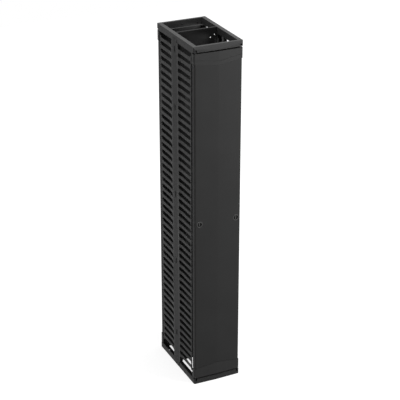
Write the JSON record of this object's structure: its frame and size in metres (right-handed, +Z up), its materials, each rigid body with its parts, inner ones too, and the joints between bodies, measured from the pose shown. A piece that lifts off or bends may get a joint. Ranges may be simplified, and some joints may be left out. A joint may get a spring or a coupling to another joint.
{
  "type": "vertical cable manager",
  "caption": "Tall double-sided vertical cable manager: hinged creased doors front and back, T-tipped finger combs down both sides, open top and base.",
  "frame": {"origin": "on the floor, under the middle of the body", "axes": "+Z up; the front door faces -Y and the back door faces +Y; X runs across the doors, from the left spine at -X to the right spine at +X"},
  "size_m": [0.3048, 0.5026, 2.134],
  "materials": {
    "rim_coat": "satin black powder coat",
    "spine_coat": "matte black powder coat",
    "comb_plastic": "moulded black plastic",
    "door_coat": "matte black powder coat",
    "cap_plastic": "moulded black plastic",
    "latch_plastic": "moulded black plastic",
    "zinc_steel": "zinc-plated steel"
  },
  "bodies": {
    "frame": {"top_frame": "rim_coat", "bottom_frame": "rim_coat", "left_spine": "spine_coat", "right_spine": "spine_coat", "divider": "rim_coat", "frame_screws": "zinc_steel", "cap_screws": "zinc_steel", "front_top_hinge_cap": "cap_plastic", "front_bottom_hinge_cap": "cap_plastic", "back_top_hinge_cap": "cap_plastic", "back_bottom_hinge_cap": "cap_plastic", "left_front_comb_1": "comb_plastic", "left_front_comb_2": "comb_plastic", "left_front_comb_3": "comb_plastic", "left_back_comb_1": "comb_plastic", "left_back_comb_2": "comb_plastic", "left_back_comb_3": "comb_plastic", "right_front_comb_1": "comb_plastic", "right_front_comb_2": "comb_plastic", "right_front_comb_3": "comb_plastic", "right_back_comb_1": "comb_plastic", "right_back_comb_2": "comb_plastic", "right_back_comb_3": "comb_plastic"},
    "front_door": {"front_door_panel": "door_coat", "front_door_top_cap": "cap_plastic", "front_door_bottom_cap": "cap_plastic", "front_hinge_cup": "latch_plastic", "front_latch_cup": "latch_plastic", "front_rod_guides": "comb_plastic", "front_door_screws": "zinc_steel"},
    "front_hinge_turn_group": {"front_hinge_turn": "latch_plastic", "front_hinge_cam": "zinc_steel", "front_hinge_cam_screw": "zinc_steel"},
    "front_hinge_upper_rod_body": {"front_hinge_upper_rod": "zinc_steel"},
    "front_hinge_lower_rod_body": {"front_hinge_lower_rod": "zinc_steel"},
    "front_latch_turn_group": {"front_latch_turn": "latch_plastic", "front_latch_cam": "zinc_steel", "front_latch_cam_screw": "zinc_steel"},
    "front_latch_upper_rod_body": {"front_latch_upper_rod": "zinc_steel"},
    "front_latch_lower_rod_body": {"front_latch_lower_rod": "zinc_steel"},
    "back_door": {"back_door_panel": "door_coat", "back_door_top_cap": "cap_plastic", "back_door_bottom_cap": "cap_plastic", "back_hinge_cup": "latch_plastic", "back_latch_cup": "latch_plastic", "back_rod_guides": "comb_plastic", "back_door_screws": "zinc_steel"},
    "back_hinge_turn_group": {"back_hinge_turn": "latch_plastic", "back_hinge_cam": "zinc_steel", "back_hinge_cam_screw": "zinc_steel"},
    "back_hinge_upper_rod_body": {"back_hinge_upper_rod": "zinc_steel"},
    "back_hinge_lower_rod_body": {"back_hinge_lower_rod": "zinc_steel"},
    "back_latch_turn_group": {"back_latch_turn": "latch_plastic", "back_latch_cam": "zinc_steel", "back_latch_cam_screw": "zinc_steel"},
    "back_latch_upper_rod_body": {"back_latch_upper_rod": "zinc_steel"},
    "back_latch_lower_rod_body": {"back_latch_lower_rod": "zinc_steel"}
  },
  "joints": [
    {"name": "front_door_swing", "type": "hinge", "parent": "frame", "child": "front_door", "pos_m": [-0.137, -0.2353, 1.067], "axis": [0, 0, -1], "range_deg": [0, 115]},
    {"name": "front_hinge_thumb_turn", "type": "hinge", "parent": "front_door", "child": "front_hinge_turn_group", "pos_m": [-0.116, -0.2413, 1.067], "axis": [0, 1, 0], "range_deg": [0, 180]},
    {"name": "front_hinge_upper_rod_slide", "type": "slide", "parent": "front_door", "child": "front_hinge_upper_rod_body", "axis": [0, 0, 1], "range_m": [-0.01, 0]},
    {"name": "front_hinge_lower_rod_slide", "type": "slide", "parent": "front_door", "child": "front_hinge_lower_rod_body", "axis": [0, 0, 1], "range_m": [0, 0.01]},
    {"name": "front_latch_thumb_turn", "type": "hinge", "parent": "front_door", "child": "front_latch_turn_group", "pos_m": [0.116, -0.2413, 1.067], "axis": [0, 1, 0], "range_deg": [0, 180]},
    {"name": "front_latch_upper_rod_slide", "type": "slide", "parent": "front_door", "child": "front_latch_upper_rod_body", "axis": [0, 0, 1], "range_m": [0, 0.01]},
    {"name": "front_latch_lower_rod_slide", "type": "slide", "parent": "front_door", "child": "front_latch_lower_rod_body", "axis": [0, 0, 1], "range_m": [-0.01, 0]},
    {"name": "back_door_swing", "type": "hinge", "parent": "frame", "child": "back_door", "pos_m": [0.137, 0.2353, 1.067], "axis": [0, 0, -1], "range_deg": [0, 115]},
    {"name": "back_hinge_thumb_turn", "type": "hinge", "parent": "back_door", "child": "back_hinge_turn_group", "pos_m": [0.116, 0.2413, 1.067], "axis": [0, -1, 0], "range_deg": [0, 180]},
    {"name": "back_hinge_upper_rod_slide", "type": "slide", "parent": "back_door", "child": "back_hinge_upper_rod_body", "axis": [0, 0, 1], "range_m": [-0.01, 0]},
    {"name": "back_hinge_lower_rod_slide", "type": "slide", "parent": "back_door", "child": "back_hinge_lower_rod_body", "axis": [0, 0, 1], "range_m": [0, 0.01]},
    {"name": "back_latch_thumb_turn", "type": "hinge", "parent": "back_door", "child": "back_latch_turn_group", "pos_m": [-0.116, 0.2413, 1.067], "axis": [0, -1, 0], "range_deg": [0, 180]},
    {"name": "back_latch_upper_rod_slide", "type": "slide", "parent": "back_door", "child": "back_latch_upper_rod_body", "axis": [0, 0, 1], "range_m": [0, 0.01]},
    {"name": "back_latch_lower_rod_slide", "type": "slide", "parent": "back_door", "child": "back_latch_lower_rod_body", "axis": [0, 0, 1], "range_m": [-0.01, 0]}
  ],
  "couplings": [
    {"joint": "front_hinge_thumb_turn", "follows": "front_hinge_upper_rod_slide", "rad_per_m": -314.16},
    {"joint": "front_hinge_lower_rod_slide", "follows": "front_hinge_upper_rod_slide", "ratio": -1},
    {"joint": "front_latch_thumb_turn", "follows": "front_latch_upper_rod_slide", "rad_per_m": 314.16},
    {"joint": "front_latch_lower_rod_slide", "follows": "front_latch_upper_rod_slide", "ratio": -1},
    {"joint": "back_hinge_thumb_turn", "follows": "back_hinge_upper_rod_slide", "rad_per_m": -314.16},
    {"joint": "back_hinge_lower_rod_slide", "follows": "back_hinge_upper_rod_slide", "ratio": -1},
    {"joint": "back_latch_thumb_turn", "follows": "back_latch_upper_rod_slide", "rad_per_m": 314.16},
    {"joint": "back_latch_lower_rod_slide", "follows": "back_latch_upper_rod_slide", "ratio": -1}
  ]
}
